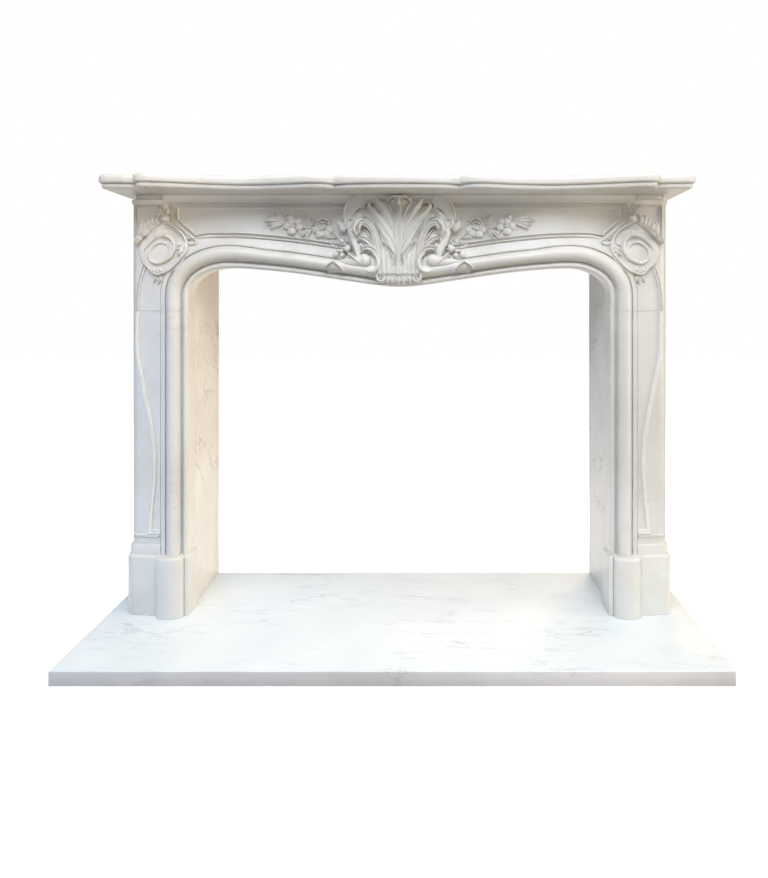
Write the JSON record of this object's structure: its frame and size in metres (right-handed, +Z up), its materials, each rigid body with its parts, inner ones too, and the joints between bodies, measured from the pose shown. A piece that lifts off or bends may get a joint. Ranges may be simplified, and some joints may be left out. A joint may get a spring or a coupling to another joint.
{
  "type": "fireplace mantel",
  "caption": "Carved marble fireplace mantel with an arched frieze, serpentine shelf, block feet and a hearth slab.",
  "frame": {"origin": "middle of the hearth slab's underside, halfway across the bounding box", "axes": "+Z up, -Y towards the room, +Y towards the wall, +X to the right as seen from the room"},
  "size_m": [1.546, 0.57, 1.185],
  "materials": {
    "carved_marble": "honed cream-white marble with faint veins",
    "sawn_marble": "polished white marble with grey veins"
  },
  "bodies": {
    "root": {"hearth": "sawn_marble", "left_plinth": "carved_marble", "right_plinth": "carved_marble", "left_jamb": "carved_marble", "right_jamb": "carved_marble", "frieze": "carved_marble", "shelf": "carved_marble", "left_inner_return": "sawn_marble", "right_inner_return": "sawn_marble", "left_outer_return": "sawn_marble", "right_outer_return": "sawn_marble"}
  },
  "joints": []
}
